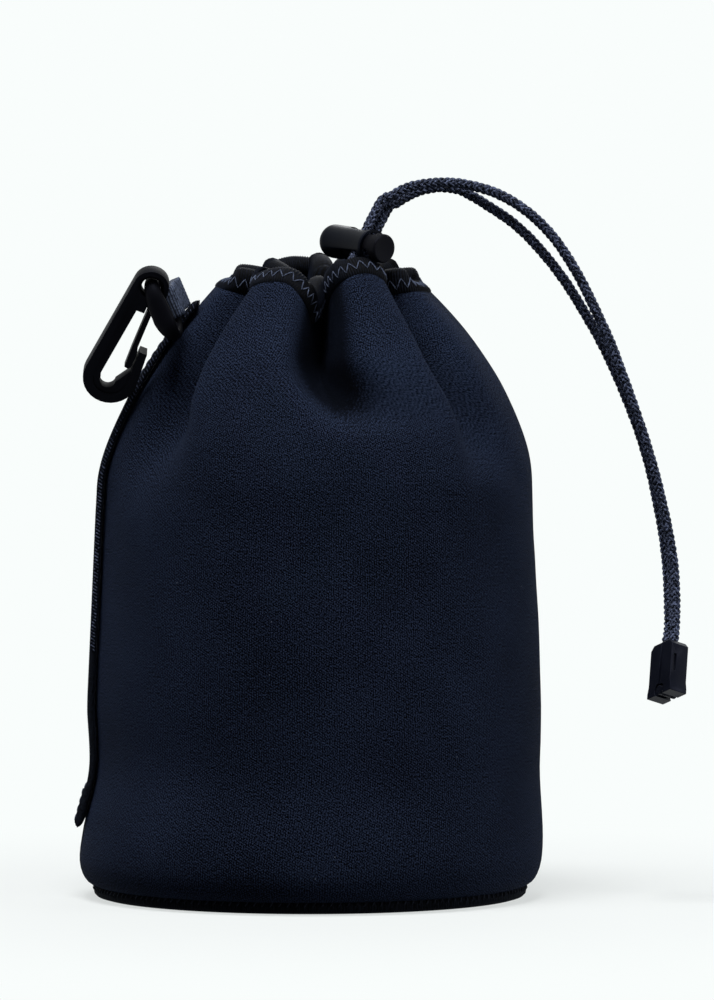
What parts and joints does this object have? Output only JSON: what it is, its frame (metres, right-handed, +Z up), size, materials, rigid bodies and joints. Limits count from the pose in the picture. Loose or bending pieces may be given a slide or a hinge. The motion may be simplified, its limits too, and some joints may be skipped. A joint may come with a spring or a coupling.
{
  "type": "drawstring lens pouch",
  "caption": "Padded round neoprene drawstring pouch with a spring cord lock, a belt strap, and a snap hook on a link.",
  "frame": {"origin": "centre of the round base's underside", "axes": "+Z up through the neck, -Y is the front, -X is the side with the belt strap"},
  "size_m": [0.1477, 0.1124, 0.1742],
  "materials": {
    "neoprene": "knit-faced neoprene, matte black with a navy cast",
    "base_neoprene": "knit-faced neoprene, matte black",
    "hem_neoprene": "ribbed knit binding, matte black with grey-blue stitches",
    "cord": "braided polyester cord, matte black",
    "satin_plastic": "moulded plastic, satin black",
    "spring_wire": "bare spring wire",
    "cord_end_plastic": "moulded plastic, satin black",
    "webbing": "woven webbing, matte black",
    "ribbed_tape": "ribbed tape, matte charcoal",
    "hook_plastic": "moulded acetal, satin black"
  },
  "bodies": {
    "bag": {"body_wall": "neoprene", "base_disc": "base_neoprene", "hem_casing": "hem_neoprene", "drawcord_ring": "cord", "cord_tail_front": "cord", "cord_tail_back": "cord", "cord_end_shell": "cord_end_plastic", "belt_strap": "webbing", "link_loop": "ribbed_tape"},
    "link": {"oval_link": "hook_plastic"},
    "hook": {"hook_frame": "hook_plastic"},
    "gate": {"hook_gate": "hook_plastic"},
    "lock": {"lock_barrel": "satin_plastic", "lock_spring": "spring_wire"},
    "plunger": {"lock_plunger": "satin_plastic"},
    "end_cap": {"cord_end_cap": "cord_end_plastic"}
  },
  "joints": [
    {"name": "lock_slide", "type": "slide", "parent": "bag", "child": "lock", "axis": [0.4176, 0.258, 0.8712], "range_m": [0, 0.006]},
    {"name": "plunger_press", "type": "slide", "parent": "lock", "child": "plunger", "axis": [-0.6724, 0.7326, 0.1054], "range_m": [0, 0.0032], "stiffness_N_per_m": 600, "springref_m": -0.001, "deforming": ["lock_spring"]},
    {"name": "link_swing", "type": "hinge", "parent": "bag", "child": "link", "pos_m": [-0.03392, -0.0165, 0.144], "axis": [-0.3841, -0.0998, 0.9179], "range_deg": [0, 50]},
    {"name": "hook_swing", "type": "hinge", "parent": "link", "child": "hook", "pos_m": [-0.03773, -0.02363, 0.1486], "axis": [-0.0187, 0.7828, 0.622], "range_deg": [0, 95]},
    {"name": "gate_flex", "type": "hinge", "parent": "hook", "child": "gate", "pos_m": [-0.0378, -0.02118, 0.14336], "axis": [0, 0.9063, 0.4226], "range_deg": [0, 14], "stiffness_Nm_per_rad": 0.03},
    {"name": "end_cap_open", "type": "hinge", "parent": "bag", "child": "end_cap", "pos_m": [0.08562, -0.02484, 0.05088], "axis": [0.8348, 0.4667, -0.292], "range_deg": [0, 90]}
  ]
}
